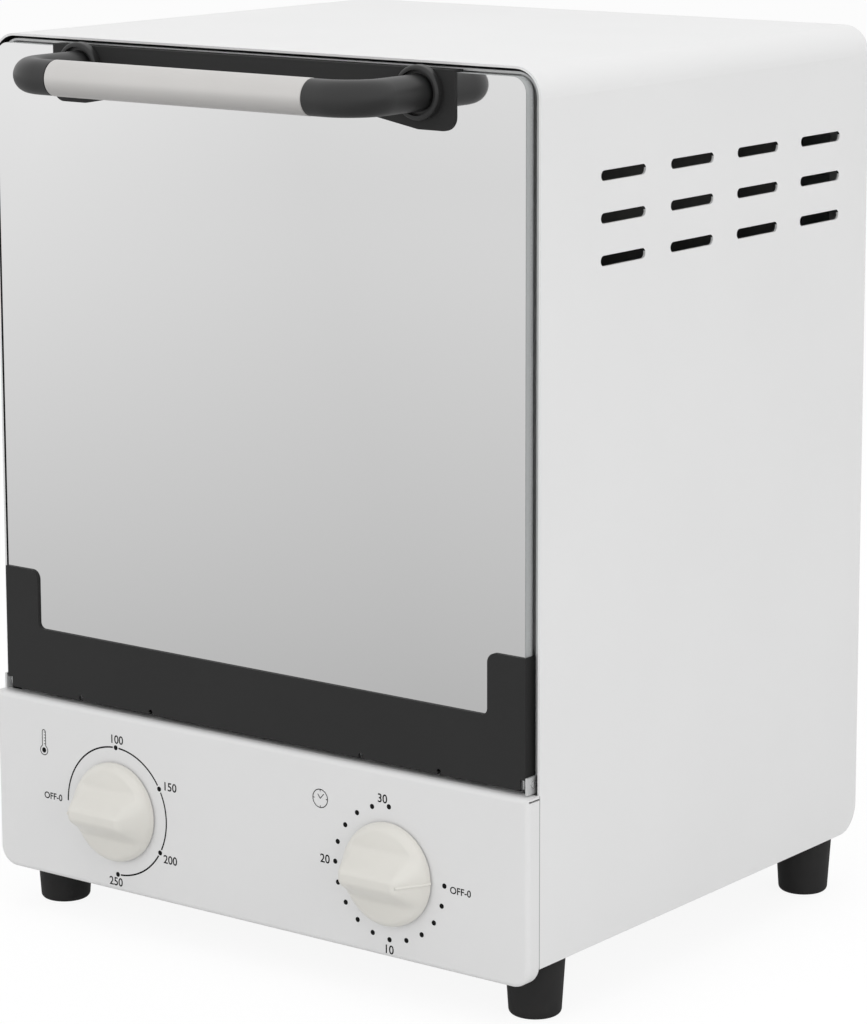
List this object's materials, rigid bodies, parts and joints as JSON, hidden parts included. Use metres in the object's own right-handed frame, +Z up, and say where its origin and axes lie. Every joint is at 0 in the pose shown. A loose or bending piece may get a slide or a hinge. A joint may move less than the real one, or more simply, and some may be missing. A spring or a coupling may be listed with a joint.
{
  "type": "dry heat sterilizer",
  "caption": "Compact upright dry heat sterilizer with a drop-down mirror glass door, tube handle, two rotary dials, vented white casing, shelf and tray.",
  "frame": {"origin": "centre of the footprint, handle included, at the floor under the feet", "axes": "+X to the right seen from the front, -Y towards the front (the door and handle side), +Z up"},
  "size_m": [0.23, 0.244, 0.308],
  "materials": {
    "casing_paint": "satin",
    "panel_paint": "satin",
    "black_paint": "satin",
    "mirror_glass": "gloss",
    "tube_aluminium": "satin",
    "black_plastic": "satin",
    "knob_plastic": "satin",
    "foot_rubber": "matt",
    "stainless": "brushed",
    "zinc_plate": "satin",
    "rack_chrome": "gloss",
    "heater_glass": "gloss",
    "bush_ceramic": "matt",
    "thermostat_plastic": "matt",
    "bell_brass": "satin",
    "block_plastic": "matt",
    "spring_steel": "satin"
  },
  "bodies": {
    "shell": {"outer_casing": "casing_paint", "control_panel": "panel_paint", "rear_cover": "casing_paint", "base_plate": "zinc_plate", "face_frame": "stainless", "chamber_liner": "stainless", "rear_bulkhead": "zinc_plate", "shelf_runners": "stainless", "heater_tubes": "heater_glass", "heater_bushes": "bush_ceramic", "heater_terminals": "zinc_plate", "thermostat_body": "thermostat_plastic", "timer_body": "zinc_plate", "timer_bell": "bell_brass", "control_screws": "zinc_plate", "terminal_block": "block_plastic", "cord_gland": "black_plastic", "cover_screws": "zinc_plate", "foot_front_left": "foot_rubber", "foot_front_right": "foot_rubber", "foot_rear_left": "foot_rubber", "foot_rear_right": "foot_rubber", "foot_screws": "zinc_plate", "foot_nuts": "zinc_plate", "door_spring_left": "spring_steel", "door_spring_right": "spring_steel"},
    "door": {"door_glass": "mirror_glass", "door_lower_frame": "black_paint", "hinge_lugs": "stainless", "hinge_pins": "stainless", "door_top_bracket": "black_paint", "handle_tube": "tube_aluminium", "handle_elbow_left": "black_plastic", "handle_elbow_right": "black_plastic", "handle_collar_left": "black_plastic", "handle_collar_right": "black_plastic", "handle_washers": "zinc_plate", "handle_screws": "zinc_plate", "stay_arms": "stainless", "frame_rivets": "zinc_plate"},
    "temperature_control": {"temperature_knob": "knob_plastic", "thermostat_shaft": "stainless"},
    "timer_control": {"timer_knob": "knob_plastic", "timer_shaft": "stainless"},
    "rack": {"wire_rack": "rack_chrome"},
    "tray": {"instrument_tray": "stainless"}
  },
  "joints": [
    {"name": "door_hinge", "type": "hinge", "parent": "shell", "child": "door", "pos_m": [0, -0.08128, 0.0816], "axis": [1, 0, 0], "range_deg": [0, 90], "stiffness_Nm_per_rad": 0.2, "springref_deg": -28.65, "deforming": ["door_spring_left", "door_spring_right"]},
    {"name": "temperature_dial", "type": "hinge", "parent": "shell", "child": "temperature_control", "pos_m": [-0.0593, -0.08678, 0.0437], "axis": [0, 1, 0], "range_deg": [0, 270]},
    {"name": "timer_dial", "type": "hinge", "parent": "shell", "child": "timer_control", "pos_m": [0.0593, -0.08678, 0.0437], "axis": [0, 1, 0], "range_deg": [0, 270]},
    {"name": "rack_slide", "type": "slide", "parent": "shell", "child": "rack", "axis": [0, -1, 0], "range_m": [0, 0.12]},
    {"name": "tray_slide", "type": "slide", "parent": "shell", "child": "tray", "axis": [0, -1, 0], "range_m": [0, 0.08]}
  ],
  "couplings": [
    {"joint": "rack_slide", "follows": "door_hinge", "m_per_rad": 0.0763},
    {"joint": "tray_slide", "follows": "door_hinge", "m_per_rad": 0.0509}
  ]
}
